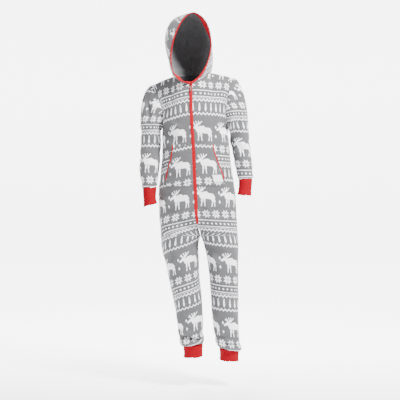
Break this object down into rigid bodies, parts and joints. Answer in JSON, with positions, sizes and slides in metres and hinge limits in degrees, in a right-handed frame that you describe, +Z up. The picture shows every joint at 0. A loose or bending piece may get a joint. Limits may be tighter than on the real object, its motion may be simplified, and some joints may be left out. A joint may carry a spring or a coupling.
{
  "type": "onesie pajama",
  "caption": "Hooded one-piece fleece pajama with a front zip, slanted-mouth pockets and ribbed cuffs, hollow and standing as worn.",
  "frame": {"origin": "the middle of the neck opening, level with the shoulders that carry the garment", "axes": "+Z up, +X to the wearer's left, and the front faces -Y"},
  "size_m": [0.5634, 0.2669, 1.7324],
  "materials": {
    "fleece": "brushed heather-grey fleece with a white knit-look print",
    "rib": "red rib knit",
    "tape": "red jersey binding and zip tape",
    "patch": "smooth white woven patch, blank",
    "metal": "bright nickel plate"
  },
  "bodies": {
    "garment": {"front_right": "fleece", "front_left": "fleece", "back_right": "fleece", "back_left": "fleece", "sleeve_right": "fleece", "sleeve_left": "fleece", "hood_right": "fleece", "hood_left": "fleece", "hood_binding": "tape", "hood_facing": "tape", "pocket_right": "fleece", "pocket_left": "fleece", "pocket_binding_right": "tape", "pocket_binding_left": "tape", "wrist_cuff_right": "rib", "wrist_cuff_left": "rib", "ankle_cuff_right": "rib", "ankle_cuff_left": "rib", "zip_tape_right": "tape", "zip_tape_left": "tape", "label_patch": "patch", "zip_slider": "metal"},
    "pull": {"zip_pull": "metal"}
  },
  "joints": [
    {"name": "pull_swing", "type": "hinge", "parent": "garment", "child": "pull", "pos_m": [-0.00596, -0.10258, -0.05852], "axis": [-0.9941, 0.1054, -0.0262], "range_deg": [0, 160]}
  ]
}
